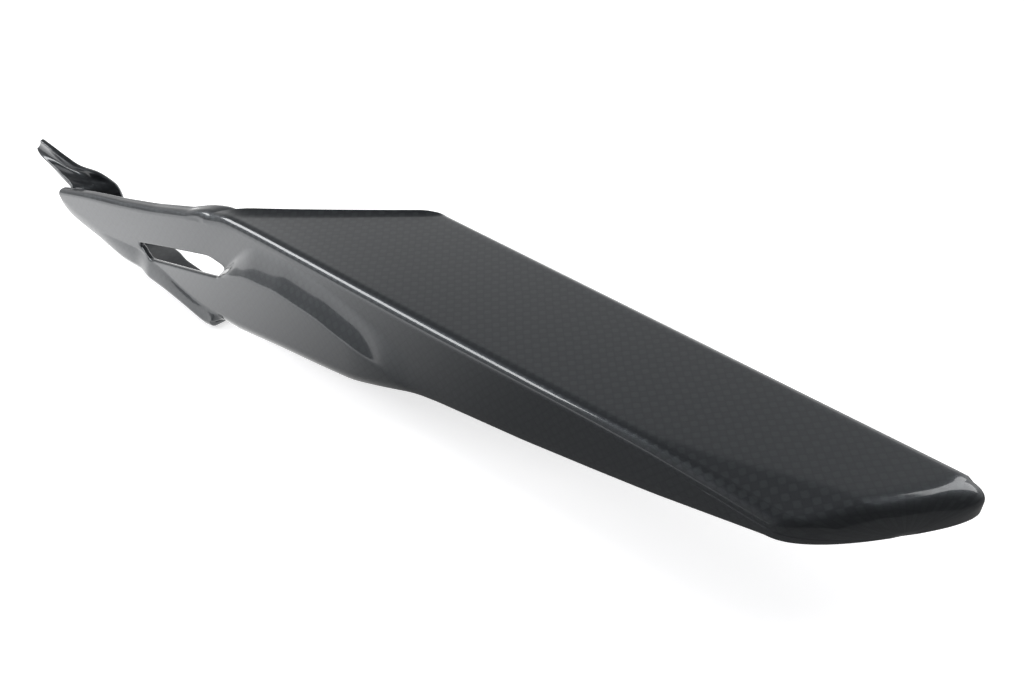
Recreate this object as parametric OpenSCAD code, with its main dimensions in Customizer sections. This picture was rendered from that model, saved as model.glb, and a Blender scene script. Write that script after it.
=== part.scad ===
// Motorcycle chain guard: one thin laminate shell with a cover plate, a side wall,
// a slotted front arm with a return flange, a front tongue and two fixing holes.
// Units are millimetres. +X runs along the guard to its rear nose, +Y goes to the
// wheel side, +Z is up, and the outer face looks to -Y. The cover plate lies level.
// The origin is the centre of the rear fixing hole, in the middle of the laminate.

/* [Laminate] */
// thickness of the laminate everywhere
wall_t = 1.8; // [1.2:0.1:2.2]
// outside radius of the long ridge between plate and side wall
ridge_r = 3.2; // [2.6:0.1:4]
// outside radius where the plate turns down into the inner flange
back_r = 3.0; // [2.6:0.1:3.6]

/* [Cover plate] */
// length of the ridge from its front corner to the root of the nose
ridge_len = 181; // [170:1:195]
// how far the ridge toes in towards the wheel over its length
ridge_toe = 7.15; // [4:0.05:10]
// front corner of the inner edge, measured along the guard from the ridge corner
back_front_x = 46.5; // [42:0.5:52]
// front corner of the inner edge, measured across the guard from the ridge corner
back_front_y = 44.0; // [40:0.5:48]
// rear corner of the inner edge, measured along the guard from the ridge corner
back_rear_x = 207.2; // [196:0.1:216]
// rear corner of the inner edge, measured across the guard from the ridge corner
back_rear_y = 39.6; // [36:0.1:43]
// height of the curled-up lip on the slanted front edge
lip_h = 1.5; // [0:0.1:3]
// depth over which that lip curls up
lip_run = 4; // [3:0.5:6]

/* [Side wall] */
// draft of the side wall in degrees, outward at the bottom
draft_deg = 2; // [0:0.5:4]
// height of the side wall at the nose
nose_h = 12.5; // [11:0.5:15]
// height of the side wall where the lower pod ends
mid_h = 31.4; // [29:0.2:34]
// height of the side wall under the front corner
front_h = 41.4; // [40:0.2:44]
// how far the lower pod stands out of the wall
pod_out = 3.6; // [2:0.1:5]
// how far the bottom edge tucks under
tuck = 2.0; // [0.5:0.1:2.4]

/* [Front arm] */
// length of the arm in front of the ridge corner
arm_len = 82; // [80:0.5:84]
// angle at which the arm flares out of the side wall, in degrees
arm_flare = 9; // [5:0.5:12]
// fall of the arm's top edge per millimetre of length
arm_fall = 0.215; // [0.18:0.005:0.24]
// how far the leg along the arm's lower edge stands out
leg_out = 2.4; // [1:0.1:3]
// depth of the return flange behind the leg
flange_d = 15; // [12:0.5:18]
// radius of the bend from the leg into the return flange
flange_r = 2.2; // [2:0.1:2.6]

/* [Slot] */
// height of the slot at its middle
slot_h = 7.4; // [6:0.1:8]
// distance of the slot's rear end in front of the ridge corner
slot_end = 4.6; // [4:0.2:8]
// length of the slot
slot_len = 48; // [44:0.5:49]

/* [Fixing] */
// diameter of the bolt that passes each hole
bolt_d = 6; // [5:0.5:6]
// clearance between a bolt and its hole, on the diameter
bolt_play = 0.5; // [0.3:0.1:0.8]
// place of the rear hole along the guard from the ridge corner
tab_x = 118; // [100:1:130]
// depth of the rear hole's centre below the plate
tab_drop = 11.5; // [11:0.5:13]
// half width of the ear that carries the rear hole
tab_half = 13; // [11:0.5:16]
// depth of the inner flange away from that ear
flange_h = 9; // [7.5:0.5:10]
// place of the front hole, in front of the ridge corner
front_hole = 66; // [64:0.5:67]

/* [Nose] */
// how far the nose reaches behind its root
nose_len = 9.2; // [7:0.2:11]
// squareness of the nose
nose_pow = 2.8; // [2.2:0.1:4]
// how far the nose sags below its root
nose_sag = 0.8; // [0:0.1:1.5]
// slope of the bevel that widens towards the nose
bevel = 0.16; // [0:0.01:0.24]

/* [Hidden] */
carbon = [0.165, 0.175, 0.190];
hole_r = (bolt_d + bolt_play) / 2;
arc = [0, 22.5, 45, 67.5, 90];
arm_tip = -arm_len;

// smooth step from 0 to 1, a rounded hinge, and the point between two points
function ease(u) = let (t = max(0, min(1, u))) t * t * (3 - 2 * t);
function hinge(u, r) = (u + sqrt(u * u + r * r)) / 2;
function mix3(a, b, t) = a + (b - a) * t;
function unit(v) = v / max(norm(v), 0.000001);

// plan lines of the ridge and of the inner edge
function ridge_y(x) = ridge_toe * x / ridge_len;
function back_at(x) = [
    back_front_x + (back_rear_x - back_front_x) * x / ridge_len,
    back_front_y + (back_rear_y - back_front_y) * x / ridge_len
];
tab_y = back_at((tab_x - back_front_x) * ridge_len / (back_rear_x - back_front_x))[1];
origin = [tab_x, tab_y - wall_t / 2, -tab_drop];

// heights along the side: top edge, bottom edge, pod ledge and leg fold
function top_z(x) = -arm_fall * hinge(-2 - x, 3);
bottom_line = [
    [arm_tip - 0.5, -20.2], [arm_tip + 1, -22.0], [arm_tip + 5, -24.8],
    [-61, -30.6], [-46, -35.8], [-24, -42.6], [-17, -43.8], [-14, -43.2], [-12, -41.8],
    [-10, -front_h], [44, -35.6], [64, -33.0], [74, -mid_h],
    [ridge_len + 6, -nose_h]
];
ledge_line = [
    [-90, -27.5], [-53, -27.5], [-41, -26.8], [-16, -24.5], [-3, -21.8], [5, -19.8],
    [21, -18.7], [37, -20.4], [51, -23.3], [61, -25.6], [72, -28.2], [84, -25.5],
    [ridge_len + 6, -9]
];
fold_line = [
    [-90, -29], [-53, -30.5], [-46, -33], [-30, -36.4], [-9, -38.4], [ridge_len + 6, -10.5]
];

// outer face of the side: arm, pod, leg and tucked bottom edge
function wall_side(x, z) = ridge_y(x) + tan(draft_deg) * z;
function arm_side(x, z) = wall_side(x, z) - tan(arm_flare) * hinge(-4 - x, 9);
function pod_gain(x) = ease((72 - x) / 40);
function pod_side(x, z) = wall_side(x, z) - pod_out * pod_gain(x);
function side_y(x, z) =
    let (
        in_pod = ease((lookup(x, ledge_line) + 1.5 - z) / 3) * ease((x + 54) / 10),
        skin = mix3(arm_side(x, z), pod_side(x, z), in_pod),
        in_leg = ease((lookup(x, fold_line) - z) / 3.5) * ease((-12.5 - x) / 2)
            * ease((x + 54) / 10),
        leg = arm_side(x, z) - leg_out * ease((x + 66) / 25),
        roll = max(0, 4 - z + lookup(x, bottom_line)) / 4
    )
    mix3(skin, leg, in_leg) + (0.5 + (tuck - 0.5) * pod_gain(x)) * roll * roll;

// the bevel that lowers the plate's outer rear corner
bevel_line = [
    [134, 5.9], [151, 9.4], [166, 12.4], [180, 15.9], [194, 21.4], [202, 29.4], [204, 38.4]
];
function bevel_drop(x, y) =
    let (d = (lookup(x, bevel_line) - y) * 0.9)
    x < 134 || d < -3 ? 0 : bevel * ease((x - 134) / 12) * hinge(d - 1, 1.5);

// the lip curled up along the slanted front edge
front_dir = unit([back_front_x, back_front_y]);
front_run = norm([back_front_x, back_front_y]);
function lip_rise(x, y) =
    let (
        behind = x * front_dir[1] - y * front_dir[0],
        along = (x * front_dir[0] + y * front_dir[1]) / front_run,
        curl = max(0, 1 - behind / lip_run)
    )
    lip_h * ease(along / 0.25 + 0.5) * ease((1 - along) / 0.25) * curl * curl;
function plate_point(p) = [p[0], p[1], p[2] + lip_rise(p[0], p[1]) - bevel_drop(p[0], p[1])];

// columns of the section, from the inner flange over the plate and down the side
n_flange = 2;
n_plate = 6;
col_back = n_flange;
col_plate = col_back + 4;
col_lip = col_plate + n_plate;
col_ridge = col_lip + 3;
col_wall = col_ridge + 4;
wall_parts = [5, 3, 4, 3, 3];
col_edge = col_wall + 18;
col_last = col_edge + 5;

function tab_gain(bx) = ease((tab_half - abs(bx - tab_x)) / 7 + 0.5);
function inner_h(bx) = flange_h + (tab_drop + hole_r + 3 - flange_h) * tab_gain(bx);

// plate part of a section, cut along the slant of the plate
function over_plate(x) =
    let (
        r = [x, ridge_y(x)],
        b = back_at(x),
        w = norm(b - r),
        d = (b - r) / w,
        rb = back_r / d[1],
        rr = ridge_r / d[1],
        h = inner_h(b[0]),
        reach = w - rr - 4.5 / d[1] - rb
    )
    concat(
        [for (k = [0:n_flange - 1]) [b[0], b[1], -h + (h - back_r) * k / n_flange]],
        [for (a = [for (k = [0:4]) 90 - arc[k]])
            let (q = b - d * rb * (1 - sin(a)))
            a == 90 ? [q[0], q[1], -back_r]
                : plate_point([q[0], q[1], -back_r * (1 - cos(a))])],
        [for (k = [1:n_plate])
            let (q = b - d * (rb + reach * k / n_plate))
            plate_point([q[0], q[1], 0])],
        [for (k = [3, 1.5])
            let (q = r + d * (rr + k / d[1]))
            plate_point([q[0], q[1], 0])],
        [for (a = arc)
            let (q = r + d * rr * (1 - sin(a)))
            plate_point([q[0], q[1], -ridge_r * (1 - cos(a))])]
    );

// top edge of the arm, with the plate's columns left out
function over_arm(x) =
    let (
        f = (x - arm_tip) / arm_len,
        rr = 1.9 + 0.7 * f,
        zt = top_z(x),
        y0 = side_y(x, zt - rr),
        out = 1.4 + 0.6 * f
    )
    concat(
        [for (k = [0:col_lip - 1]) [0, 0, 0]],
        [for (k = [1, 0.6, 0.25]) [x, y0 + rr + out * k, zt + (0.2 + 0.3 * f) * k * k]],
        [for (a = arc) [x, y0 + rr * (1 - sin(a)), zt - rr * (1 - cos(a))]]
    );

// side part of a section: rows gather on the ledge, the fold and the leg
function down_side(x, zt) =
    let (
        zb = lookup(x, bottom_line),
        z1 = max(min(lookup(x, ledge_line) + 1.5, zt - 2), zb + 8),
        z2 = max(z1 - 3, zb + 5.5),
        z3 = max(min(lookup(x, fold_line), z2 - 1), zb + 3.4),
        z4 = max(z3 - 3.5, zb + 1.6),
        marks = [zt, z1, z2, z3, z4, zb]
    )
    [for (m = [0:4]) for (k = [1:wall_parts[m]])
        let (z = marks[m] + (marks[m + 1] - marks[m]) * k / wall_parts[m])
        [x, side_y(x, z), z]];

// return flange behind the leg
function under_leg(p) = concat(
    [for (a = [30, 60, 90]) p + [0, flange_r * (1 - cos(a)), -flange_r * sin(a)]],
    [for (k = [1, 2]) p + [0, flange_r + (flange_d - flange_r) * k / 2, -flange_r]]
);
function section(x, cap) =
    let (
        side = down_side(x, cap[len(cap) - 1][2]),
        p = side[len(side) - 1]
    )
    concat(cap, side, under_leg(p));

// stations along the guard
arm_x = concat(
    [arm_tip, arm_tip + 1, arm_tip + 3, arm_tip + 6],
    [for (k = [0:4]) -72 + k * 4.6],
    [for (k = [0:6]) -49.5 + k * 4.2],
    [-20.5, -17.5, -15.5, -14.2, -13.2, -12.2, -10.5, -7.5, -3.5]
);
main_x = concat(
    [0, 1.2, 3, 6],
    [for (k = [1:23]) 6 + (ridge_len - 6) * k / 23]
);
arm_rows = [for (x = arm_x) section(x, over_arm(x))];
main_rows = [for (x = main_x) section(x, over_plate(x))];

// nose: the last section shrinks into its rim while it moves back
nose_dir = [0.92, 0.07];
nose_steps = [0.99, 0.96, 0.91, 0.84, 0.74, 0.6, 0.42, 0.2, 0];
root = main_rows[len(main_rows) - 1];
rim_mid = (root[0] + root[col_edge]) / 2;
function nose_row(k) =
    let (
        go = nose_len * pow(1 - pow(k, nose_pow), 1 / nose_pow),
        move = [nose_dir[0] * go, nose_dir[1] * go, -nose_sag * (1 - k * k)]
    )
    [for (p = root) rim_mid + (p - rim_mid) * k + move];
rows = concat(arm_rows, main_rows, [for (k = nose_steps) nose_row(k)]);

n_rows = len(rows) - 1;
n_cols = col_last + 1;
row_front = len(arm_x);
row_leg = len([for (x = arm_x) if (x < -14.5) 1]) - 1;
row_root = len(arm_x) + len(main_x) - 1;

// which cells of the grid carry laminate
function has(i, j) =
    i >= 0 && j >= 0 && i < n_rows && j < col_last
    && (j >= col_lip || i >= row_front)
    && (j < col_edge || i < row_leg);
function row_lo(j) = j < col_lip ? row_front : 0;
function row_hi(j) = j > col_edge ? row_leg : n_rows;
function col_lo(i) = i < row_front ? col_lip : 0;
function col_hi(i) = i <= row_leg ? col_last : col_edge;
function normal_at(i, j) =
    i == n_rows ? unit([nose_dir[0], nose_dir[1], 0]) :
    let (
        along = rows[min(i + 1, row_hi(j))][j] - rows[max(i - 1, row_lo(j))][j],
        across = rows[i][min(j + 1, col_hi(i))] - rows[i][max(j - 1, col_lo(i))]
    )
    unit(cross(across, along));
// way from the outer to the inner skin: straight through each face, turning in the bends
turn_back = [for (a = [for (k = [0:4]) 90 - arc[k]]) [0, -sin(a), -cos(a)]];
turn_ridge = [for (a = arc) [0, sin(a), -cos(a)]];
inward = concat(
    [for (k = [1:n_flange]) [0, -1, 0]],
    turn_back,
    [for (k = [1:n_plate + 2]) [0, 0, -1]],
    turn_ridge,
    [for (k = [1:col_edge - col_wall]) [0, 1, 0]],
    [for (a = [30, 60, 90]) [0, cos(a), sin(a)]],
    [[0, 0, 1], [0, 0, 1]]
);
function used(i, j) = has(i, j) || has(i - 1, j) || has(i, j - 1) || has(i - 1, j - 1);
function in_point(i, j) =
    let (w = max(0, min(1, (i - row_root) / 3)))
    used(i, j) ? rows[i][j] + unit(mix3(inward[j], -normal_at(i, j), w)) * wall_t : [0, 0, 0];

// point numbers; the last row is one point
n_skin = (n_rows + 1) * n_cols;
function id(i, j) = i * n_cols + (i == n_rows ? 0 : j);
function cell_faces(i, j) =
    let (
        a = id(i, j),
        b = id(i + 1, j),
        c = id(i + 1, j + 1),
        d = id(i, j + 1),
        s = n_skin
    )
    concat(
        b == c ? [] : [[a, b, c], [a + s, c + s, b + s]],
        [[a, c, d], [a + s, d + s, c + s]],
        has(i, j - 1) ? [] : [[b, a, a + s], [b, a + s, b + s]],
        has(i, j + 1) ? [] : [[d, c, c + s], [d, c + s, d + s]],
        has(i - 1, j) ? [] : [[a, d, d + s], [a, d + s, a + s]],
        has(i + 1, j) || b == c ? [] : [[c, b, b + s], [c, b + s, c + s]]
    );

module shell() {
    outer = [for (i = [0:n_rows]) for (j = [0:n_cols - 1]) rows[i][j]];
    inner = [for (i = [0:n_rows]) for (j = [0:n_cols - 1]) in_point(i, j)];
    polyhedron(
        points = concat(outer, inner),
        faces = [for (i = [0:n_rows]) for (j = [0:n_cols - 1]) if (has(i, j))
            each cell_faces(i, j)],
        convexity = 8
    );
}

// front tongue: a curled strip between two edges that rises out of the arm's tip
tongue_left = [
    [-79.8, -13.6, -22.6], [-79.8, -13.4, -19.0], [-81.0, -13.3, -16.8], [-84.4, -13.0, -15.9],
    [-88.2, -12.6, -15.4], [-93.0, -12.1, -14.6], [-98.1, -11.6, -13.4], [-101.9, -11.1, -11.6],
    [-103.3, -10.6, -10.1]
];
tongue_right = [
    [-73.2, 1.2, -27.2], [-73.4, 1.4, -22.6], [-73.8, 0.9, -19.1], [-75.6, 0.0, -16.8],
    [-79.1, -2.6, -13.6], [-85.2, -5.8, -12.0], [-89.6, -7.8, -9.4], [-94.2, -9.2, -7.0],
    [-100.1, -9.6, -5.7]
];
n_strip = 8;
crown = [1.2, 1.4, 1.6, 1.8, 1.8, 1.6, 1.3, 0.9, 0.4];
function strip_point(i, t) =
    let (
        a = tongue_left[i],
        b = tongue_right[i],
        side = unit(b - a),
        next = tongue_left[min(i + 1, 8)] - tongue_left[max(i - 1, 0)]
            + tongue_right[min(i + 1, 8)] - tongue_right[max(i - 1, 0)],
        up = unit(cross(next, side))
    )
    mix3(a, b, t) + up * crown[i] * sin(180 * t);
function strip_normal(i, k) =
    let (
        t = k / n_strip,
        along = strip_point(min(i + 1, 8), t) - strip_point(max(i - 1, 0), t),
        across = strip_point(i, min(t + 0.06, 1)) - strip_point(i, max(t - 0.06, 0))
    )
    unit(cross(along, across));
module tongue() {
    n = n_strip + 1;
    top = [for (i = [0:8]) for (k = [0:n_strip]) strip_point(i, k / n_strip)];
    low = [for (i = [0:8]) for (k = [0:n_strip])
        strip_point(i, k / n_strip) - strip_normal(i, k) * wall_t];
    s = 9 * n;
    skin = [for (i = [0:7]) for (k = [0:n_strip - 1])
        let (a = i * n + k, b = a + n, c = b + 1, d = a + 1)
        each [[a, c, b], [a, d, c], [a + s, b + s, c + s], [a + s, c + s, d + s]]];
    sides = [for (i = [0:7])
        let (a = i * n, b = a + n, c = a + n_strip, d = b + n_strip)
        each [[a, b, b + s], [a, b + s, a + s], [d, c, c + s], [d, c + s, d + s]]];
    ends = [for (k = [0:n_strip - 1])
        let (a = k, b = k + 1, c = 8 * n + k, d = c + 1)
        each [[b, a, a + s], [b, a + s, b + s], [c, d, d + s], [c, d + s, c + s]]];
    polyhedron(points = concat(top, low), faces = concat(skin, sides, ends), convexity = 6);
}

// outline with rounded corners, each given as [x, z, radius]
function rounded(c) = [for (i = [0:len(c) - 1])
    let (
        p = [c[i][0], c[i][1]],
        a = c[(i + len(c) - 1) % len(c)],
        b = c[(i + 1) % len(c)],
        u = unit([a[0], a[1]] - p),
        v = unit([b[0], b[1]] - p),
        half = acos(max(-1, min(1, u * v))) / 2,
        run = c[i][2] / tan(half),
        mid = p + unit(u + v) * c[i][2] / sin(half),
        p1 = p + u * run - mid,
        p2 = p + v * run - mid,
        a1 = atan2(p1[1], p1[0]),
        turn = let (t = atan2(p2[1], p2[0]) - a1) t > 180 ? t - 360 : t < -180 ? t + 360 : t
    )
    for (k = [0:5]) mid + c[i][2] * [cos(a1 + turn * k / 5), sin(a1 + turn * k / 5)]];

// cutter for the slot between the arm and the pod
module slot() {
    rear = -slot_end;
    front = rear - slot_len;
    outline = rounded([
        [front, -28.4, 0.8],
        [rear - 12.8, -20.4 + (slot_h - 7.4) / 2, 9],
        [rear, -24.4, 1.6],
        [rear - 10, -26.6 - (slot_h - 7.4) / 2, 10],
        [rear - 41, -32.0 - (slot_h - 7.4) / 2, 3]
    ]);
    translate([0, 40, 0])
        rotate([90, 0, 0])
            linear_extrude(height = 80, convexity = 4)
                polygon(outline);
}

// cutters for the two fixing holes
front_mid = [
    -front_hole,
    side_y(-front_hole, lookup(-front_hole, bottom_line)) + flange_d * 0.56,
    lookup(-front_hole, bottom_line) - flange_r + wall_t / 2
];
front_tilt = atan2(
    lookup(-front_hole - 4, bottom_line) - lookup(-front_hole + 4, bottom_line), 8
);
module fixing_holes() {
    translate(origin)
        rotate([90, 0, 0])
            cylinder(h = 16, r = hole_r, center = true, $fn = 48);
    translate(front_mid)
        rotate([0, front_tilt, 0])
            cylinder(h = 9, r = hole_r, center = true, $fn = 48);
}

module chain_guard() {
    color(carbon)
        translate(-origin)
            difference() {
                union() {
                    shell();
                    tongue();
                }
                slot();
                fixing_holes();
            }
}

chain_guard();
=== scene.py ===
# %% [markdown]
# # A chain guard in woven laminate
# The guard is one thin sheet of carbon cloth and resin, moulded over a tool, trimmed and
# clear coated. It stands here on a pale sweep in soft studio light. Each step below first
# says what the piece is on the real object, then builds it with plain Python and Blender.

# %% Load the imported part
import math

import bmesh
import bpy
import numpy as np
from mathutils import Matrix, Vector


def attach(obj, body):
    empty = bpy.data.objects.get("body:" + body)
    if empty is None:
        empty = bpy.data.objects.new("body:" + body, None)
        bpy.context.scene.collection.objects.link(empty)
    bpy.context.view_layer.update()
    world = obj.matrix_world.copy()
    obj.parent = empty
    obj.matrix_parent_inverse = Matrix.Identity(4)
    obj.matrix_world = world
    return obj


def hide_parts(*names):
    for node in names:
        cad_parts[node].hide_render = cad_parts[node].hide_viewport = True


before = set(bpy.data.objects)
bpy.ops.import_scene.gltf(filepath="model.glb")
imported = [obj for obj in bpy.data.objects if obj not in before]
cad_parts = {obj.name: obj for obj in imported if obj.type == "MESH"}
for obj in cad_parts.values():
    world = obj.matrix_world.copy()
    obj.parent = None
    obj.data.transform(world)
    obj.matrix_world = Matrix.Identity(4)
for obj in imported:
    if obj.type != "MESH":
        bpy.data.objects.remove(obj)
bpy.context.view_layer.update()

# %% [markdown]
# ## Sizes
# All sizes are in millimetres. Places are measured from the ridge's front corner: x runs
# back along the guard, y to the wheel side and z up from the plate. The rear hole is where
# the solid model has it, and the front one is 1.5 mm further out. The form follows the
# photograph, which puts the ridge, plate, wall and pod up to about 8 mm away from the
# solid's faces, and past the solid's box by 0.5 mm at most. Only the last helper turns
# millimetres into metres, measured from the rear fixing hole.

# %% Sizes of the guard, in millimetres
# the sheet
wall_t = 1.8
ridge_r = 3.2
back_r = 3.0
# the cover plate: its ridge, how far that turns in, and the ends of the inner edge
ridge_len = 188.0
ridge_toe = 5.7
back_front = np.array([54.0, 49.4])
back_rear = np.array([214.6, 45.0])
# the plate's front lip, its bevel's slope, its slight bow and its lowered front corner
lip_h = 1.5
lip_run = 7.0
bevel = 0.26
bow_h = 1.0
corner_drop = 0.6
corner_size = 10
# the side wall and the pod that stands out of it and fades towards the rear
draft = math.radians(2)
pod_out = 3.6
pod_end = 98
pod_fade = 34
# the ledge above the pod: its height at the slot and behind it, how its slope grows
# towards the crest, and how round the crest is
ledge_least = 1.2
ledge_most = 9.8
ledge_power = 1.35
crest_round = 0.04
# how far the lower edge tucks under, over the last 4 mm of the side
tuck = 2.0
tuck_least = 0.3
tuck_h = 4
# the arm, the leg along its lower edge and the return flange behind that
arm_tip = -74.6
arm_len = 74.6
flare = math.radians(6.5)
leg_out = 1.8
leg_end = 2.4
flange_d = 15.0
flange_r = 2.2
# the inner flange with its ear, and the fixing holes
flange_h = 9.0
flange_fall = 1.2
tab_x = 125.4
tab_drop = 11.5
tab_half = 13.0
hole_r = 3.25
front_x = -58.6
# the rounded nose: length, squareness, how far its rim sags, leans and points
nose_len = 9.2
nose_pow = 2.8
nose_sag = 0.8
nose_skew = 0.1
nose_dir = np.array([0.92, 0.07])
# the rear hole's middle, where the solid model has its origin
origin = np.array([tab_x, 46.5623, -tab_drop])


def metres(points):
    return (np.asarray(points, float) - origin) / 1000


print("ridge", ridge_len, "mm, arm", arm_len, "mm, laminate", wall_t, "mm")

# %% [markdown]
# ## Curves that steer the surface
# A moulded sheet has no hard corners in its length, so each line that steers it is a
# short table read through a soft filter. The filter averages the table over a few
# millimetres, which rounds its corners as a mould maker's scraper would.

# %% Soft curves
def ease(u):
    t = np.clip(u, 0, 1)
    return t * t * (3 - 2 * t)


def hinge(u, r):
    return (u + np.sqrt(u * u + r * r)) / 2


def soft(table, x, width):
    steps = np.linspace(-1, 1, 9)
    weights = 1 - steps * steps + 0.1
    xs, zs = zip(*table)
    parts = [w * np.interp(x + s * width, xs, zs) for s, w in zip(steps, weights)]
    return sum(parts) / weights.sum()


top_table = [
    (-80, -17.2), (-74, -15.7), (-57.7, -12.5), (-43, -10.3), (-37, -9.2), (-31, -8.1),
    (-25.3, -7.0), (-19.5, -5.6), (-13.8, -4.2), (-8.3, -2.9), (-2.8, -1.3), (2.6, 0)]
bottom_table = [
    (-75.3, -17.8), (-73.7, -22.4), (-67.8, -25.5), (-54.2, -30.4), (-47.4, -32.2),
    (-35.6, -32.6), (-22, -33.9), (-12.8, -35.4), (-3.4, -37.2), (-0.6, -37.4),
    (1.5, -37.0), (4, -36.2), (14, -35.9), (33, -33.4), (49, -31.6), (64, -29.7),
    (78, -26.0), (87, -23.5), (124, -19.1), (146, -15.8), (161, -13.4), (188, -8.1),
    (196, -6.7)]
crest_table = [
    (-80, -26.5), (-36, -26.5), (-22.7, -25.3), (-0.5, -20.6), (7.5, -18.9), (12.8, -15.9),
    (20.3, -13.9), (35.5, -12.5), (51.6, -13.8), (65.2, -16.6), (74.9, -19.0), (85.2, -22.8),
    (100, -22), (194, -6)]
fold_table = [
    (-80, -26.5), (-36, -26.8), (-30, -27.5), (-22.8, -28.7), (-15.5, -31.0), (-5.5, -33.0),
    (5.5, -34), (194, -6)]
bevel_table = [
    (125, 4.4), (146, 5.6), (158, 7.2), (166, 9.6), (175, 12.2), (187, 16.5), (200, 21),
    (207, 25.6), (210.6, 30), (211.4, 36), (212, 44)]


def bottom_z(x):
    return soft(bottom_table, x, 1.2 + 3 * ease((x - 20) / 20) + 2 * ease((-20 - x) / 10))


def crest_z(x):
    return soft(crest_table, x, 2.5)


def fold_z(x):
    return soft(fold_table, x, 3.0)


def ridge_y(x):
    return ridge_toe * x / ridge_len


def top_z(x):
    return soft(top_table, x, 3.0)


print("wall height at the front corner:", -round(float(bottom_z(10.0)), 1), "mm")

# %% [markdown]
# ## The side of the guard
# From the ridge down, the side is a drafted wall. Low down a pod stands out of it: the
# wall slopes out over a soft ledge, up to a crest that runs from the slot down to the
# lower edge. In front the arm flares away, and its lower edge leans out into a slender
# leg. All of that is one height field: how far out the skin lies at a place along and a
# height. A formula is used, not sculpting, because the reflections on a clear coat show
# every bump that a hand would leave.

# %% The side as a formula
def wall_side(x, z):
    return ridge_y(x) + math.tan(draft) * z


def arm_side(x, z):
    return wall_side(x, z) - math.tan(flare) * hinge(14 + z - x, 6)


def pod_gain(x):
    return ease((pod_end - x) / pod_fade)


def side_y(x, z):
    ledge = ledge_least + (ledge_most - ledge_least) * ease((x - 4) / 20)
    down_ledge = np.maximum(0, (crest_z(x) + ledge - z) / ledge)
    in_pod = (1 - hinge(1 - down_ledge ** ledge_power, crest_round)) * ease((x + 40) / 10)
    pod = wall_side(x, z) - pod_out * pod_gain(x)
    skin = arm_side(x, z) * (1 - in_pod) + pod * in_pod
    fold = fold_z(x)
    down_leg = np.clip((fold - z) / np.maximum(fold - bottom_z(x), 1), 0, 1)
    leg = leg_out * down_leg * ease((leg_end + 2.2 - x) / 2) * ease((x + 62) / 25)
    roll = np.maximum(0, tuck_h - z + bottom_z(x)) / tuck_h
    tuck_in = tuck_least + (tuck - tuck_least) * pod_gain(x) * ease((x - 2) / 4)
    return skin - leg + tuck_in * roll * roll


print("pod stands out", round(float(wall_side(10.0, -30.0) - side_y(10.0, -30.0)), 2), "mm")

# %% [markdown]
# ## The cover plate
# The plate is level, but for a slight bow along the ridge. Its slanted front edge curls up
# into a low lip, its front corner sinks to meet the arm, and its outer rear corner falls
# away in a shallow bevel that widens towards the nose.

# %% Lip, bow and bevel of the plate
front_run = float(np.hypot(*back_front))
front_dir = back_front / front_run


def plate_rise(x, y):
    behind = x * front_dir[1] - y * front_dir[0]
    along = (x * front_dir[0] + y * front_dir[1]) / front_run
    curl = np.clip(1 - behind / (lip_run * (1 - 0.7 * along)), 0, None)
    lip = lip_h * ease(along / 0.2) * ease((1 - along) / 0.12) * curl * curl
    past_edge = (soft(bevel_table, x, 2.0) - y) * 0.9
    fall = bevel * ease((x - 130) / 20) * hinge(past_edge, 0.5) * ease((past_edge + 6) / 4)
    near_ridge = np.exp(-np.maximum(y - ridge_y(x), 0) / 10)
    bow = bow_h * ease(x / 12) * ease((100 - x) / 80) * near_ridge
    corner = corner_drop * ease(1 - np.hypot(x, y) / corner_size)
    return lip + bow - corner - fall


def inner_h(bx):
    ear = ease((tab_half - abs(bx - tab_x)) / 7 + 0.5)
    ear_h = tab_drop + hole_r + 3
    return flange_h + (ear_h - flange_h) * ear - flange_fall * ease((bx - 190) / 24)


print("lip at the middle of the front edge:", round(float(plate_rise(27.0, 24.7)), 2), "mm")

# %% [markdown]
# ## The slot's outline
# The arm has a long lens-shaped slot with rounded corners. Its outline is six corners,
# each with its own radius, and it is split into an upper and a lower edge so that the
# columns of the mesh can follow them. Following the edge gives a clean rounded rim, which
# cutting the finished mesh with a boolean would not. In front of the slot and behind it
# the two edges run on as one line, at a share of the side's height.

# %% Slot outline
slot_corners = [
    (-38.0, -24.2, 0.8), (-1.5, -16.4, 10), (5.0, -17.2, 3), (7.8, -18.9, 0.6),
    (-0.5, -20.9, 10), (-30.2, -27.6, 3)]
share_ahead = 0.62
share_behind = 0.45
share_run = 14


def rounded(corners, steps=14):
    points = []
    for i, (x, z, r) in enumerate(corners):
        p = np.array([x, z])
        u = np.array(corners[i - 1][:2]) - p
        v = np.array(corners[(i + 1) % len(corners)][:2]) - p
        u, v = u / np.hypot(*u), v / np.hypot(*v)
        half = math.acos(np.clip(u @ v, -1, 1)) / 2
        mid = p + (u + v) / np.hypot(*(u + v)) * r / math.sin(half)
        p1 = p + u * r / math.tan(half) - mid
        p2 = p + v * r / math.tan(half) - mid
        a1 = math.atan2(p1[1], p1[0])
        turn = (math.atan2(p2[1], p2[0]) - a1 + math.pi) % (2 * math.pi) - math.pi
        for k in range(steps + 1):
            a = a1 + turn * k / steps
            points.append(mid + r * np.array([math.cos(a), math.sin(a)]))
    return np.array(points)


slot_line = rounded(slot_corners)
slot_lo, slot_hi = slot_line[:, 0].min(), slot_line[:, 0].max()
i0, i1 = slot_line[:, 0].argmin(), slot_line[:, 0].argmax()
loop = np.roll(slot_line, -i0, axis=0)
turn_at = (i1 - i0) % len(loop)
chain_a, chain_b = loop[:turn_at + 1], np.vstack([loop[turn_at:], loop[:1]])[::-1]
lower, upper = sorted((chain_a, chain_b), key=lambda chain: chain[:, 1].mean())


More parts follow.
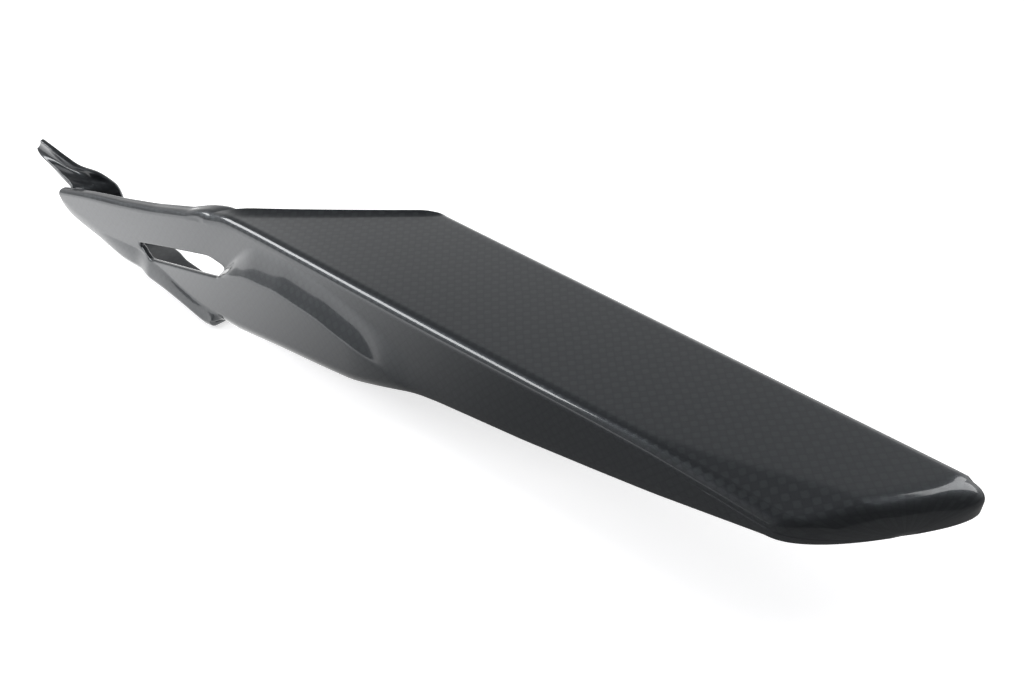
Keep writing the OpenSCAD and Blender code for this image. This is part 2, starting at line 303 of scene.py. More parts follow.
def slot_edges(x, zt, zb):
    ahead = zt + (zb - zt) * share_ahead
    behind = zt + (zb - zt) * share_behind
    if x <= slot_lo:
        t = ease((slot_lo - x) / share_run)
        z = upper[0][1] * (1 - t) + ahead * t
        return z, z
    if x >= slot_hi:
        t = ease((x - slot_hi) / share_run)
        z = upper[-1][1] * (1 - t) + behind * t
        return z, z
    return np.interp(x, *upper.T), np.interp(x, *lower.T)


print("slot from", round(slot_lo, 1), "to", round(slot_hi, 1), "mm")

# %% [markdown]
# ## The sheet as a grid
# A sheet is easiest to hold as a grid: one row for each place along the guard, one
# column for each place across its section, from the inner flange over the plate, round
# the ridge and down the side to the return flange. Rows crowd where the form turns fast,
# and a few lie close to each trimmed edge so that it can be rounded.

# %% Places along the section and along the guard
# how far the first columns and rows lie from a trimmed edge
edge_gaps = np.array([0.0, 0.08, 0.22, 0.42, 0.7])
# how many columns each stretch of the section gets, from the inner flange on
n_flange = 9
n_back = 9
n_plate = 26
n_lip = 6
n_ridge = 12
n_high = 34
n_low = 34
n_bend = 6
n_return = 10
# the finer stretch of the plate beside the ridge
lip_zone = 4.5


def from_edge(length, count):
    gaps = edge_gaps * min(1, length / 2.4)
    rest = np.linspace(gaps[-1], length, count - len(gaps) + 2)[1:]
    return np.concatenate([gaps, rest])


def both_edges(length, count):
    gaps = edge_gaps * min(1, length / 2.4)
    rest = np.linspace(gaps[-1], length - gaps[-1], count - 2 * len(gaps) + 3)[1:-1]
    return np.concatenate([gaps, rest, length - gaps[::-1]])


def over_plate(x):
    r = np.array([x, float(side_y(x, -ridge_r))])
    b = back_front + (back_rear - back_front) * x / ridge_len
    w = np.hypot(*(b - r))
    d = (b - r) / w
    rb, rr = back_r / d[1], ridge_r / d[1]
    h = inner_h(b[0])
    flange = [(b[0], b[1], -h + g) for g in from_edge(h - back_r, n_flange)[:-1]]
    back = []
    for a in np.radians(np.linspace(90, 0, n_back)):
        q = b - d * rb * (1 - math.sin(a))
        back.append((q[0], q[1], -back_r * (1 - math.cos(a))))
    reach = w - rr - lip_zone / d[1] - rb
    plate = [(*(b - d * (rb + reach * k / n_plate)), 0) for k in range(1, n_plate + 1)]
    across = np.linspace(lip_zone, 0, n_lip + 1)[1:-1]
    lip = [(*(r + d * (rr + k / d[1])), 0) for k in across]
    ridge = []
    for a in np.radians(np.linspace(0, 90, n_ridge)):
        q = r + d * rr * (1 - math.sin(a))
        ridge.append((q[0], q[1], -ridge_r * (1 - math.cos(a))))
    top = np.array(back + plate + lip + ridge)
    top[1:, 2] += plate_rise(top[1:, 0], top[1:, 1])
    return np.vstack([flange, top])


n_top = len(over_plate(0.0))
col_lip = n_top - n_ridge - n_lip
print("columns over the top:", n_top)


# The arm's top: its ridge radius, its width behind that and its curl grow to the rear.
def over_arm(x):
    f = (x - arm_tip) / arm_len
    rr = 1.9 + 0.7 * f
    zt = top_z(x)
    y0 = side_y(x, zt - rr)
    out = 1.2 + 0.8 * f * f
    behind_ridge = out - from_edge(out, n_lip + 1)[:n_lip]
    curl = 0.2 + 0.3 * f
    lip = [(x, y0 + rr + k, zt + curl * (k / out) ** 2) for k in behind_ridge]
    ridge = []
    for a in np.radians(np.linspace(0, 90, n_ridge)):
        ridge.append((x, y0 + rr * (1 - math.sin(a)), zt - rr * (1 - math.cos(a))))
    return np.vstack([np.zeros((col_lip, 3)), lip, ridge])


# %% [markdown]
# ## The lower half of a section
# Down the side there are two bands of columns, above and below the slot's line. At the
# lower edge the sheet bends inwards through a quarter circle into the return flange.

# %% Columns down the side and round into the return flange
def down_side(x, zt):
    zb = float(bottom_z(x))
    z_up, z_dn = slot_edges(x, zt, zb)
    high = z_up + from_edge(zt - z_up, n_high)[::-1]
    low = z_dn - both_edges(z_dn - zb, n_low)
    z = np.concatenate([high[1:], low])
    return np.column_stack([np.full(len(z), x), side_y(x, z), z])


def under_leg(p):
    bend = [p + (0, flange_r * (1 - math.cos(a)), -flange_r * math.sin(a))
            for a in np.radians(np.linspace(0, 90, n_bend + 1)[1:])]
    run = flange_d - flange_r
    flat = [p + (0, flange_r + run - g, -flange_r)
            for g in from_edge(run, n_return)[::-1][1:]]
    return np.array(bend + flat)


def section(x, cap):
    side = down_side(x, cap[-1][2])
    return np.vstack([cap, side, under_leg(side[-1])])


probe = section(0.0, over_plate(0.0))
n_cols = len(probe)
col_up = n_top - 1 + n_high
col_edge = n_top - 1 + len(down_side(0.0, -ridge_r))
print("columns in all:", n_cols, "slot edge at", col_up, "bottom edge at", col_edge)

# %% [markdown]
# ## Places of the rows
# The rows lie closest beside the slot's two ends, beside the leg's end and at the arm's
# tip, where rims have to be rounded. Over the arm's last 9 mm its narrow top blends into
# the plate's first row. At the rear the last section shrinks along a blunt oval and
# closes as the nose.

# %% Rows along the guard
# how far the rows lie from the slot's two ends
cluster = np.array([0.06, 0.16, 0.34, 0.62, 1.05])
blend_run = 9


def spaced(a, b, step):
    return np.linspace(a, b, max(2, int(round((b - a) / step)) + 1))


def unique(values, least=0.03):
    kept = []
    for v in np.sort(np.concatenate([np.atleast_1d(v) for v in values])):
        if not kept or v - kept[-1] > least:
            kept.append(float(v))
    return np.array(kept)


arm_x = unique([
    arm_tip + edge_gaps, spaced(arm_tip + 1, slot_lo - 1.6, 1.0), slot_lo - cluster, [slot_lo],
    slot_lo + cluster, spaced(slot_lo + 1.7, -9, 0.9), spaced(-8.6, -0.15, 0.4)])
main_x = unique([
    [0.0], edge_gaps, spaced(1.1, leg_end - 0.8, 0.4), leg_end - edge_gaps,
    spaced(leg_end + 0.4, slot_hi - 1.4, 0.5), slot_hi - cluster, [slot_hi],
    slot_hi + cluster, spaced(slot_hi + 1.5, 20, 0.8), spaced(20, ridge_len, 1.25)])
all_x = np.concatenate([arm_x, main_x])
row_slot_lo = int(np.argmin(abs(all_x - slot_lo)))
row_slot_hi = int(np.argmin(abs(all_x - slot_hi)))
row_leg = int(np.argmin(abs(all_x - leg_end)))
row_front = len(arm_x)


def blend_cap(x):
    t = ease((x + blend_run) / blend_run)
    plate = over_plate(0.0)
    plate[:, 0] += x
    return over_arm(x) * (1 - t) + plate * t


rows = [section(x, blend_cap(x)) for x in arm_x]
rows += [section(x, over_plate(x)) for x in main_x]
row_root = len(rows) - 1
root = rows[-1]
rim_mid = (root[0] + root[col_edge]) / 2
nose_go = []
for turn in np.radians(np.linspace(0, 90, 27)[1:]):
    shrink = max(0.0, math.cos(turn)) ** (2 / nose_pow)
    shrink = 0.0 if shrink < 0.02 else shrink
    go = nose_len * math.sin(turn) ** (2 / nose_pow)
    move = np.array([nose_dir[0] * go, nose_dir[1] * go, -nose_sag * (1 - shrink * shrink)])
    row = rim_mid + (root - rim_mid) * shrink + move
    row[:, 0] += nose_skew * go * shrink * (root[:, 1] - rim_mid[1]) / 20
    height = np.clip((row[:, 2] - rim_mid[2]) / -rim_mid[2], 0, 1)
    row[:, 2] -= 0.3 * hinge(row[:, 0] - 212, 1) * height
    rows.append(row)
    nose_go.append(go)
nose_go = np.array(nose_go)
grid = np.array(rows)
n_rows = len(grid)
print("grid of", n_rows, "rows and", n_cols, "columns")

# %% [markdown]
# ## Trimming
# The grid is a full rectangle, and the real sheet is trimmed. In front of the plate there
# is only the arm, the return flange ends with the leg, and the slot is open.

# %% Which cells carry laminate
has = np.zeros((n_rows - 1, n_cols - 1), bool)
has[:, :col_edge] = True
has[:row_front, :col_lip] = False
has[:row_leg, col_edge:] = True
has[:, col_up] = False
print("cells with laminate:", int(has.sum()))

# %% [markdown]
# ## Thickness and rounded rims
# The inner skin is the outer one moved straight through the sheet. Each column has its own
# direction for that, and round the nose it turns to the surface's own normal. At a trimmed
# rim both skins draw together over the last 0.6 mm, the way a rim is sanded round before
# the clear coat goes on. It catches a thin line of light, which a square rim would not.

# %% Thickness and rims
angles_back = np.radians(np.linspace(90, 0, n_back))
angles_ridge = np.radians(np.linspace(0, 90, n_ridge))
angles_bend = np.radians(np.linspace(0, 90, n_bend + 1)[1:])
inward = np.vstack([
    np.tile([0, -1, 0], (n_flange, 1)),
    [(0, -math.sin(a), -math.cos(a)) for a in angles_back],
    np.tile([0, 0, -1], (n_plate + n_lip - 1, 1)),
    [(0, math.sin(a), -math.cos(a)) for a in angles_ridge]])
side_count = col_edge - (n_top - 1)
inward = np.vstack([
    inward, np.tile([0, 1, 0], (side_count, 1)),
    [(0, math.cos(a), math.sin(a)) for a in angles_bend]])
inward = np.vstack([inward, np.tile([0, 0, 1], (n_cols - len(inward), 1))])
print("directions:", len(inward), "for", n_cols, "columns")


def unit(v):
    return v / np.maximum(np.linalg.norm(v, axis=-1, keepdims=True), 1e-9)


def grid_normals(p):
    along = np.empty_like(p)
    along[1:-1] = p[2:] - p[:-2]
    along[0], along[-1] = p[1] - p[0], p[-1] - p[-2]
    across = np.empty_like(p)
    across[:, 1:-1] = p[:, 2:] - p[:, :-2]
    across[:, 0], across[:, -1] = p[:, 1] - p[:, 0], p[:, -1] - p[:, -2]
    return unit(np.cross(across, along))


normals = grid_normals(grid)
normals[-1] = unit(np.array([nose_dir[0], nose_dir[1], 0]))
turn_run = 5.4
turning = np.zeros((n_rows, 1, 1))
turning[row_root + 1:, 0, 0] = np.clip(nose_go / turn_run, 0, 1)
through = unit(inward[None] * (1 - turning) - normals * turning)
print("through the sheet:", through.shape)

# %% [markdown]
# ## Cloth coordinates
# The weave has to run over the ridge and down the side without a break, as the real cloth
# does. So each point of the grid gets its place on the flat cloth in millimetres: how far
# along the ridge it lies and how far across the section. They are stored as a UV map, and
# the pattern is later worked out from them at its real size.

# %% Place of each point on the cloth
slope = math.atan2(ridge_toe, ridge_len)
cloth = np.zeros((n_rows, n_cols, 2))
cloth[..., 0] = grid[..., 0] * math.cos(slope) + grid[..., 1] * math.sin(slope)
steps = np.zeros((n_rows, n_cols))
steps[:, 1:] = np.hypot(np.diff(grid[..., 1], axis=1), np.diff(grid[..., 2], axis=1))
run = np.cumsum(steps, axis=1)
start = -grid[:, n_top - 1, 2] + (math.pi / 2 - 1) * ridge_r
cloth[..., 1] = run - run[:, n_top - 1:n_top] + start[:, None]
col_back = n_flange + n_back - 1
flat = slice(col_back, n_top - n_ridge + 1)
over = grid[row_front:, flat]
from_ridge = over[..., 0] * math.sin(slope) - over[..., 1] * math.cos(slope)
cloth[row_front:, flat, 1] = from_ridge + ridge_r
down_flange = run[row_front:, :col_back] - run[row_front:, col_back, None]
cloth[row_front:, :col_back, 1] = down_flange + cloth[row_front:, col_back, 1, None]
cloth[row_root + 1:, :, 0] = cloth[row_root, :, 0] + nose_go[:, None]
cloth[row_root + 1:, :, 1] = cloth[row_root, :, 1]
print("cloth from", cloth[..., 1].min().round(1), "to", cloth[..., 1].max().round(1), "mm across")

# %% [markdown]
# ## From grid to solid sheet
# One function turns any such grid into a closed sheet: two skins, a strip along every
# free rim, and rims that draw together over the last 0.6 mm. The free rims are found by
# counting: an edge that belongs to one cell only is a rim. The two columns of the slot's
# edges are joined again in front of the slot and behind it, and so is the nose's tip.

# %% Sheet builder
rim_r = 0.6


def sheet(name, points, across_sheet, cells, cloth_place, twins=()):
    rows_n, cols_n = points.shape[:2]
    ids = np.arange(rows_n * cols_n).reshape(rows_n, cols_n)
    for keep, gone in twins:
        ids[gone] = ids[keep]
    quads = np.stack([ids[:-1, :-1], ids[1:, :-1], ids[1:, 1:], ids[:-1, 1:]], -1)[cells]
    faces = []
    for q in quads.tolist():
        ring = [v for i, v in enumerate(q) if v != q[i - 1]]
        if len(set(ring)) == len(ring) and len(ring) > 2:
            faces.append(ring)
    count = {}
    for ring in faces:
        for i, v in enumerate(ring):
            key = (min(v, ring[i - 1]), max(v, ring[i - 1]))
            count[key] = count.get(key, 0) + 1
    rims = [key for key, n in count.items() if n == 1]
    used = sorted({v for ring in faces for v in ring})
    slot_of = {v: i for i, v in enumerate(used)}
    place = points.reshape(-1, 3)[used]
    thin = across_sheet.reshape(-1, 3)[used]
    place_uv = cloth_place.reshape(-1, 2)[used]
    rim_ids = sorted({slot_of[v] for key in rims for v in key})
    d = np.full(len(used), 9.0)
    rim_places = place[rim_ids]
    for lo in range(0, len(used), 2000):
        part = place[lo:lo + 2000, None] - rim_places[None]
        d[lo:lo + 2000] = np.sqrt((part ** 2).sum(-1).min(1))
    d = np.minimum(d, rim_r)
    draw = rim_r - np.sqrt(np.maximum(rim_r ** 2 - (rim_r - d) ** 2, 0))
    top = place + thin * draw[:, None]
    low = place + thin * (wall_t - draw[:, None])
    n = len(used)
    skin = [[slot_of[v] for v in ring] for ring in faces]
    both = skin + [[v + n for v in reversed(ring)] for ring in skin]
    for a, b in rims:
        a, b = slot_of[a], slot_of[b]
        both.append([a, b, b + n, a + n])
    mesh = bpy.data.meshes.new(name)
    mesh.from_pydata(metres(np.vstack([top, low])).tolist(), [], both)
    lining = [int(len(skin) <= i < 2 * len(skin)) for i in range(len(both))]
    mesh.polygons.foreach_set("material_index", lining)
    layer = mesh.uv_layers.new(name="cloth")
    corners = np.empty(len(mesh.loops), int)
    mesh.loops.foreach_get("vertex_index", corners)
    layer.data.foreach_set("uv", place_uv[corners % n].astype(np.float32).ravel())
    mesh.update()
    mesh.validate()
    obj = bpy.data.objects.new(name, mesh)
    bpy.context.scene.collection.objects.link(obj)
    bpy.context.view_layer.objects.active = obj
    tidy_mesh(obj)
    return obj


def tidy_mesh(obj):
    bm = bmesh.new()
    bm.from_mesh(obj.data)
    bmesh.ops.recalc_face_normals(bm, faces=bm.faces)
    for face in bm.faces:
        face.smooth = True
    bm.to_mesh(obj.data)
    bm.free()


outside = [i for i in range(n_rows) if i <= row_slot_lo or i >= row_slot_hi]
twins = [((i, col_up), (i, col_up + 1)) for i in outside]
twins += [((n_rows - 1, 0), (n_rows - 1, j)) for j in range(1, n_cols)]
guard = sheet("guard_shell", grid, through, has, cloth, twins)
print("guard:", len(guard.data.polygons), "faces")

# %% [markdown]
# ## The fixing holes
# Two round holes take the bolts: one in the inner flange's ear, one in the return flange,
# square to it. They sit on flat ground away from the fine rows, so here a boolean cut is
# the quickest way, and its result is applied at once.

# %% Fixing holes
into_flange = flange_d * 0.56
front_low = float(bottom_z(front_x))
front_y = float(side_y(front_x, front_low)) + into_flange
front_mid = np.array([front_x, front_y, front_low - flange_r + wall_t / 2])
front_tilt = math.atan2(float(bottom_z(front_x - 4) - bottom_z(front_x + 4)), 8)


def drill(target, mid, axis, length):
    mesh = bpy.data.meshes.new("drill")
    bm = bmesh.new()
    bmesh.ops.create_cone(
        bm, cap_ends=True, segments=64, radius1=hole_r / 1000, radius2=hole_r / 1000,
        depth=length / 1000)
    turn = Vector((0, 0, 1)).rotation_difference(Vector(axis)).to_matrix().to_4x4()
    bm.transform(Matrix.Translation(Vector(metres(mid))) @ turn)
    bm.to_mesh(mesh)
    bm.free()
    cutter = bpy.data.objects.new("drill", mesh)
    bpy.context.scene.collection.objects.link(cutter)
    cut = target.modifiers.new("hole", "BOOLEAN")
    cut.operation = "DIFFERENCE"
    cut.solver = "EXACT"
    cut.object = cutter
    view = bpy.context.evaluated_depsgraph_get()
    result = bpy.data.meshes.new_from_object(target.evaluated_get(view))
    target.modifiers.clear()
    target.data = result
    bpy.data.objects.remove(cutter)
    bpy.data.meshes.remove(mesh)


drill(guard, origin, (0, 1, 0), 16)
drill(guard, front_mid, (math.sin(front_tilt), 0, math.cos(front_tilt)), 9)
print("front hole at", front_mid.round(2), "drilled mesh:", len(guard.data.polygons), "faces")

# %% [markdown]
# ## The front tongue
# A curled strip rises out of the arm's tip and ends in a narrow point. It is drawn by its
# two long edges and a crown between them, read at nine places and joined by a smooth
# curve, so it twists as the real one does.

# %% Tongue
tongue_left = np.array([
    (-72.3, -7.1, -22.4), (-72.3, -6.9, -18.8), (-73.5, -6.8, -16.6), (-76.9, -6.5, -15.7),
    (-80.7, -6.1, -15.2), (-85.5, -5.6, -14.4), (-90.6, -5.1, -13.2), (-94.4, -4.6, -11.4),
    (-95.8, -4.1, -9.9)])
tongue_right = np.array([
    (-66.1, 7.7, -27.0), (-66.3, 7.9, -22.4), (-66.7, 7.4, -18.9), (-68.5, 6.5, -16.6),
    (-72.0, 3.9, -13.4), (-78.1, 0.7, -11.8), (-82.5, -1.3, -9.2), (-87.1, -2.7, -6.8),
    (-93.0, -3.1, -5.5)])
tongue_crown = np.array([1.2, 1.4, 1.6, 1.8, 1.8, 1.6, 1.3, 0.9, 0.4])


def smooth_curve(table, at):
    table = np.asarray(table, float)
    i = np.clip(np.floor(at).astype(int), 0, len(table) - 2)
    t = at - i
    if table.ndim > 1:
        t = t[:, None]
    p0 = table[np.maximum(i - 1, 0)]
    p1, p2 = table[i], table[i + 1]
    p3 = table[np.minimum(i + 2, len(table) - 1)]
    curve = 2 * p1 + (p2 - p0) * t + (2 * p0 - 5 * p1 + 4 * p2 - p3) * t ** 2
    return 0.5 * (curve + (3 * p1 - p0 - 3 * p2 + p3) * t ** 3)


places = unique([[0], spaced(0, 7.85, 0.1), 8 - edge_gaps / 5.5], 0.001)
left, right = smooth_curve(tongue_left, places), smooth_curve(tongue_right, places)
crown = smooth_curve(tongue_crown, places)
middle = (left + right) / 2
up = unit(np.cross(np.gradient(middle, axis=0), unit(right - left)))
width = np.linalg.norm(right - left, axis=1)
stride = np.linalg.norm(np.diff(middle, axis=0), axis=1)
travel = np.concatenate([[0], np.cumsum(stride)])
n_strip = 31
n_between = n_strip - 2 * len(edge_gaps) + 2
# where the strip starts on the cloth
cloth_along = -68
cloth_across = 15
strip = np.empty((len(places), n_strip, 3))
strip_uv = np.empty((len(places), n_strip, 2))
for row in range(len(places)):
    far = width[row] - edge_gaps[::-1]
    between = np.linspace(edge_gaps[-1], far[0], n_between)[1:-1]
    across = np.concatenate([edge_gaps, between, far])
    t = across[:, None] / width[row]
    straight = left[row] + (right[row] - left[row]) * t
    strip[row] = straight + up[row] * crown[row] * np.sin(np.pi * t)
    strip_uv[row] = np.column_stack([
        np.full(n_strip, cloth_along - travel[row]), cloth_across + across])
strip_normals = grid_normals(strip)
facing = 1 if (strip_normals * up[:, None]).sum() > 0 else -1
tongue_cells = np.ones((len(places) - 1, n_strip - 1), bool)
tongue = sheet("front_tongue", strip, -facing * strip_normals, tongue_cells, strip_uv)
print("tongue:", len(tongue.data.polygons), "faces")

# %% [markdown]
# ## Clear-coated carbon weave
# The laminate is 3K carbon cloth in epoxy, a plain weave laid at 45 degrees, under a
# satin-gloss clear coat. One tow is about 2 mm wide, and on this part the cloth is drawn
# a little narrower along the guard than across it. Each tow mirrors light like a bundle of
# fine dark rods: along the fibres the shine is short, across them it is long. So the two
# tow directions turn light and dark against each other as the surface turns. On top of that
# the two directions are painted a little lighter and darker in their colour, a painted sheen.
# The clear coat above lies smooth and keeps its own sharp reflection.

# %% Material helpers
def linear(hex_colour):
    parts = [int(hex_colour[i:i + 2], 16) / 255 for i in (1, 3, 5)]
    line = [c / 12.92 if c <= 0.04045 else ((c + 0.055) / 1.055) ** 2.4 for c in parts]
    return (*line, 1.0)


def add(tree, kind, inputs=None, **settings):
    node = tree.nodes.new(kind)
    for key, value in settings.items():
        setattr(node, key, value)
    for socket, value in (inputs or {}).items():
        if isinstance(value, bpy.types.NodeSocket):
            tree.links.new(value, node.inputs[socket])
        else:
            node.inputs[socket].default_value = value
    return node


# the weave's repeat along the guard and across it, in millimetres
cycle_along = 2.64
cycle_across = 3.03
tow_width = cycle_along * cycle_across / math.hypot(cycle_along, cycle_across)
print("tow width from the cycle:", round(tow_width, 2), "mm")


# %% [markdown]
# ## The weave from its parts
# The pattern is worked out in steps: the place on the cloth in tows, which tow lies on
# top, the dome of each crossing, fine strands, then colour and relief. The depth is how
# far a tow's crown stands above the seams, in millimetres.

# %% Carbon weave material
# the two tow colours are one tow colour painted lighter and darker: a painted sheen
def carbon_weave(name, painted_lit_tow, painted_shaded_tow, gap, rough, coat, coat_rough, depth):
    material = bpy.data.materials.new(name)
    material.use_nodes = True
    tree = material.node_tree
    tree.nodes.clear()
    # the cloth, nudged by less than a millimetre as hand-laid cloth is
    place = add(tree, "ShaderNodeUVMap", uv_map="cloth")
    drift = add(tree, "ShaderNodeTexNoise", {
        "Vector": place.outputs[0], "Scale": 0.06, "Detail": 1.0})
    centred = add(tree, "ShaderNodeVectorMath", {
        0: drift.outputs["Color"], 1: (0.5, 0.5, 0.5)}, operation="SUBTRACT")
    nudge = add(tree, "ShaderNodeVectorMath", {
        0: centred.outputs[0], "Scale": 1.4}, operation="SCALE")
    laid = add(tree, "ShaderNodeVectorMath", {
        0: place.outputs[0], 1: nudge.outputs[0]}, operation="ADD")
    # one unit of the turned place is one tow
    root2 = math.sqrt(2)
    tows = add(tree, "ShaderNodeMapping", {
        "Vector": laid.outputs[0], "Rotation": (0, 0, math.radians(45)),
        "Scale": (root2 / cycle_along, root2 / cycle_across, 0)})
    split = add(tree, "ShaderNodeSeparateXYZ", {0: tows.outputs[0]})
    over = add(tree, "ShaderNodeTexChecker", {
        "Vector": tows.outputs[0], "Color1": (0, 0, 0, 1), "Color2": (1, 1, 1, 1), "Scale": 1.0})
    # each crossing is a flat dome that falls steeply at its seams
    bulges = []
    for axis in (0, 1):
        part = add(tree, "ShaderNodeMath", {0: split.outputs[axis]}, operation="FRACT")
        arc = add(tree, "ShaderNodeMath", {0: part.outputs[0], 1: math.pi}, operation="MULTIPLY")
        wave = add(tree, "ShaderNodeMath", {0: arc.outputs[0]}, operation="SINE")
        bulges.append(add(tree, "ShaderNodeMath", {
            0: wave.outputs[0], 1: 0.45}, operation="POWER"))
    dome = add(tree, "ShaderNodeMath", {
        0: bulges[0].outputs[0], 1: bulges[1].outputs[0]}, operation="MULTIPLY")
    # fine strands run along the tow that lies on top
    hair = []
    for stretch in ((0.35, 5.0, 1), (5.0, 0.35, 1)):
        lay = add(tree, "ShaderNodeMapping", {"Vector": tows.outputs[0], "Scale": stretch})
        hair.append(add(tree, "ShaderNodeTexNoise", {
            "Vector": lay.outputs[0], "Scale": 2.0, "Detail": 1.0}))
    strands = add(tree, "ShaderNodeMix", {
        "Factor": over.outputs["Fac"], "A": hair[0].outputs[0], "B": hair[1].outputs[0]},
        data_type="FLOAT")
    # colour: the two tow directions painted lighter and darker (a painted sheen), and resin in the
    # seams (6 and 7 are the mix's two colours)
    tow = add(tree, "ShaderNodeMix", {
        "Factor": over.outputs["Fac"], 6: linear(painted_lit_tow), 7: linear(painted_shaded_tow)},
        data_type="RGBA")
    seam = add(tree, "ShaderNodeMapRange", {
        "Value": dome.outputs[0], "From Min": 0.15, "From Max": 0.75})
    shaded = add(tree, "ShaderNodeMix", {
        "Factor": seam.outputs[0], 6: linear(gap), 7: tow.outputs[2]}, data_type="RGBA")
    # relief, and the tow's direction for its stretched shine
    height = add(tree, "ShaderNodeMath", {
        0: strands.outputs[0], 1: 0.25, 2: dome.outputs[0]}, operation="MULTIPLY_ADD")
    bump = add(tree, "ShaderNodeBump", {
        "Height": height.outputs[0], "Distance": depth / 1000, "Strength": 1.0})
    lie = add(tree, "ShaderNodeMath", {
        0: over.outputs["Fac"], 1: 0.25, 2: 0.125}, operation="MULTIPLY_ADD")
    grain = add(tree, "ShaderNodeTangent", direction_type="UV_MAP", uv_map="cloth")
    surface = add(tree, "ShaderNodeBsdfPrincipled", {
        "Base Color": shaded.outputs[2], "Metallic": 0.7, "Roughness": rough,
        "Normal": bump.outputs[0], "Anisotropic": 0.35, "Anisotropic Rotation": lie.outputs[0],
        "Tangent": grain.outputs[0], "Coat Weight": coat, "Coat Roughness": coat_rough,
        "Coat IOR": 1.5})
    add(tree, "ShaderNodeOutputMaterial", {"Surface": surface.outputs[0]})
    return material


# the tool side: flat weave under a polished clear coat, its tows with a faint painted sheen
face_side = carbon_weave(
    "carbon_weave_clear_coated", painted_lit_tow="#3f4346", painted_shaded_tow="#3c3f43", gap="#393c40",
    rough=0.4, coat=1.0, coat_rough=0.07, depth=0.004)
# the bag side: the weave stands out under a thin, dull film of resin, its tows with a stronger
# painted sheen
back_side = carbon_weave(
    "carbon_weave_bag_side", painted_lit_tow="#404347", painted_shaded_tow="#383b3e", gap="#2c2f32",
    rough=0.5, coat=0.5, coat_rough=0.35, depth=0.03)
for obj in (guard, tongue):
    obj.data.materials.clear()
    obj.data.materials.append(face_side)
    obj.data.materials.append(back_side)
    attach(obj, "root")
    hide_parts("chain_guard")
print("materials:", [m.name for m in guard.data.materials])

# %% [markdown]
# ## Floor and surroundings
# The guard stands on a white sweep. What the camera sees of the floor is lifted to white
# with a little self-light, so that only the soft shadow shows. For mirrored rays the floor
# glows instead, bright at the arm and dim towards the nose, as if a white card lay under
# the front only: a painted reflection. That makes the side fall from light grey to dark
# along the guard.

# %% Floor
lowest = float(min(v.co.z for v in guard.data.vertices))
floor_mesh = bpy.data.meshes.new("sweep")
half_size = 3.0
floor_gap = 0.0006
floor_mesh.from_pydata(
    [(-half_size, -half_size, 0), (half_size, -half_size, 0), (half_size, half_size, 0),
     (-half_size, half_size, 0)], [], [(0, 1, 2, 3)])
floor = bpy.data.objects.new("sweep", floor_mesh)
floor.location.z = lowest - floor_gap
bpy.context.scene.collection.objects.link(floor)
paper = bpy.data.materials.new("white_paper")
paper.use_nodes = True
tree = paper.node_tree
tree.nodes.clear()
matt = add(tree, "ShaderNodeBsdfDiffuse", {"Color": linear("#e8e8ea")})
glow = add(tree, "ShaderNodeEmission", {"Color": (1, 1, 1, 1), "Strength": 0.62})
rays = add(tree, "ShaderNodeLightPath")
seen = add(tree, "ShaderNodeMath", {
    0: rays.outputs["Is Camera Ray"], 1: rays.outputs["Is Transmission Ray"]}, operation="MAXIMUM")
lifted = add(tree, "ShaderNodeAddShader", {0: matt.outputs[0], 1: glow.outputs[0]})
spot = add(tree, "ShaderNodeTexCoord")
along = add(tree, "ShaderNodeSeparateXYZ", {0: spot.outputs["Object"]})
# for mirrored rays only, the floor glows brighter towards the arm: a painted reflection on the
# guard's side
reflection_glow_strength = add(tree, "ShaderNodeMapRange", {
    "Value": along.outputs[0], "From Min": -0.2, "From Max": -0.02, "To Min": 1.9, "To Max": 0.2},
    interpolation_type="SMOOTHSTEP")
painted_reflection_glow = add(tree, "ShaderNodeEmission", {"Color": (1, 1, 1, 1), "Strength": reflection_glow_strength.outputs[0]})
looked_at = add(tree, "ShaderNodeMixShader", {
    0: seen.outputs[0], 1: matt.outputs[0], 2: lifted.outputs[0]})
pick = add(tree, "ShaderNodeMixShader", {
    0: rays.outputs["Is Glossy Ray"], 1: looked_at.outputs[0], 2: painted_reflection_glow.outputs[0]})
add(tree, "ShaderNodeOutputMaterial", {"Surface": pick.outputs[0]})
floor_mesh.materials.append(paper)
print("floor at", round(floor.location.z * 1000, 1), "mm")

# %% [markdown]
# ## The room
# On a glossy dark part the surroundings matter more than the lamps. Behind the guard
# stands a pale wall, bright low down and dim above, which the plate mirrors. The room
# behind the camera is dark, but for a dim door on the left, which the ledge mirrors.

# %% World
world = bpy.data.worlds.new("studio")
bpy.context.scene.world = world
world.use_nodes = True
tree = world.node_tree
tree.nodes.clear()
heading = add(tree, "ShaderNodeTexCoord")
toward_wall = Vector((-0.65, 0.76, 0.0))
facing_wall = add(tree, "ShaderNodeVectorMath", {
    0: heading.outputs["Generated"], 1: toward_wall}, operation="DOT_PRODUCT")
level = add(tree, "ShaderNodeSeparateXYZ", {0: heading.outputs["Generated"]})
wall = add(tree, "ShaderNodeMapRange", {
    "Value": facing_wall.outputs["Value"], "From Min": -0.3, "From Max": 0.7,
    "To Min": 0.0, "To Max": 1.0},
    interpolation_type="SMOOTHSTEP")
low = add(tree, "ShaderNodeMapRange", {
    "Value": level.outputs[2], "From Min": 0.12, "From Max": 0.8, "To Min": 0.9, "To Max": 0.1},
    interpolation_type="SMOOTHSTEP")
toward_door = Vector((-0.45, -0.89, 0.0))
facing_door = add(tree, "ShaderNodeVectorMath", {
    0: heading.outputs["Generated"], 1: toward_door}, operation="DOT_PRODUCT")
door = add(tree, "ShaderNodeMapRange", {
    "Value": facing_door.outputs["Value"], "From Min": 0.75, "From Max": 0.95,
    "To Min": 0.07, "To Max": 0.3},
    interpolation_type="SMOOTHSTEP")
room = add(tree, "ShaderNodeMath", {
    0: wall.outputs[0], 1: low.outputs[0], 2: door.outputs[0]}, operation="MULTIPLY_ADD")
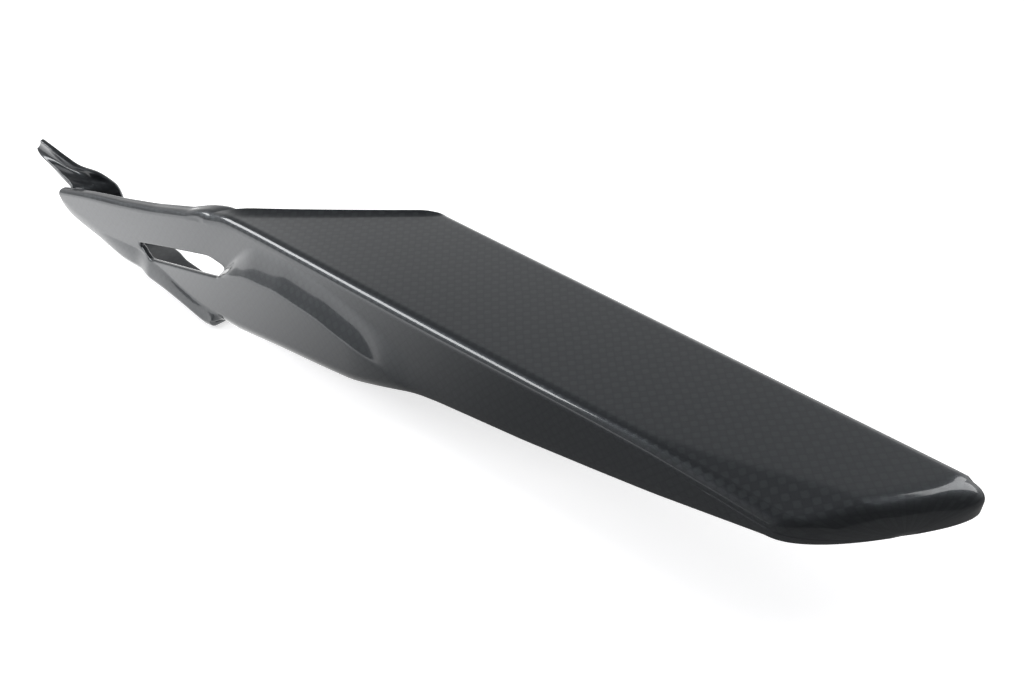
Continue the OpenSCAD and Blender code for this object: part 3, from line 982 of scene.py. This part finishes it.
inside = add(tree, "ShaderNodeBackground", {"Color": (1, 1, 1, 1), "Strength": room.outputs[0]})
white = add(tree, "ShaderNodeBackground", {"Color": (1, 1, 1, 1), "Strength": 1.0})
rays = add(tree, "ShaderNodeLightPath")
pick = add(tree, "ShaderNodeMixShader", {
    0: rays.outputs["Is Camera Ray"], 1: inside.outputs[0], 2: white.outputs[0]})
add(tree, "ShaderNodeOutputWorld", {"Surface": pick.outputs[0]})
print("dim room:", round(door.inputs["To Min"].default_value, 2), "of white")

# %% [markdown]
# ## Lamps
# A wide panel above casts the soft shadow and stays out of the reflections. A long soft
# box draws the bright line along the ridge, and a far window puts the patch on the nose.
# Places and sizes are in metres.

# %% Lamps
def panel(name, place, aim, size, watts):
    lamp = bpy.data.lights.new(name, "AREA")
    lamp.shape = "RECTANGLE"
    lamp.size, lamp.size_y = size
    lamp.energy = watts
    obj = bpy.data.objects.new(name, lamp)
    obj.location = place
    obj.rotation_euler = (Vector(aim) - Vector(place)).to_track_quat("-Z", "Y").to_euler()
    bpy.context.scene.collection.objects.link(obj)
    return obj


top = panel("top_panel", (-0.1, 0.1, 0.9), (-0.05, 0, 0), (0.9, 0.9), 5)
top.visible_glossy = False
panel("soft_box", (-0.587, -0.543, 0.506), (-0.05, -0.045, 0), (0.6, 0.22), 4)
panel("rear_window", (0.45, 0.6, 0.6), (0.09, -0.02, 0), (0.35, 0.6), 2.4)
print("lamps:", [lamp.name for lamp in bpy.data.lights])

# %% [markdown]
# ## Camera
# The photograph was taken from close by, about 25 cm away, with a lens like 35 mm on a
# full frame. The weave on the plate gave its place and turn. A close camera makes the near
# end of the guard look large, so the distance matters as much as the angle.

# %% Camera
lens = bpy.data.cameras.new("camera")
lens.sensor_width = 36
photo_width = 1024
focal_pixels = 1000
lens.lens = focal_pixels / photo_width * lens.sensor_width
lens.clip_start = 0.01
camera = bpy.data.objects.new("camera", lens)
right_way = Vector((0.751, 0.668, 0.022))
look_way = Vector((-0.529, 0.615, -0.585)).normalized()
right_way = (right_way - look_way * right_way.dot(look_way)).normalized()
up_way = right_way.cross(look_way)
turn = Matrix((right_way, up_way, -look_way)).transposed().to_4x4()
camera.matrix_world = Matrix.Translation((0.11722, -0.18621, 0.15654)) @ turn
bpy.context.scene.collection.objects.link(camera)
bpy.context.scene.camera = camera
bpy.context.scene.view_settings.view_transform = "Standard"
print("camera looks along", [round(v, 3) for v in look_way])
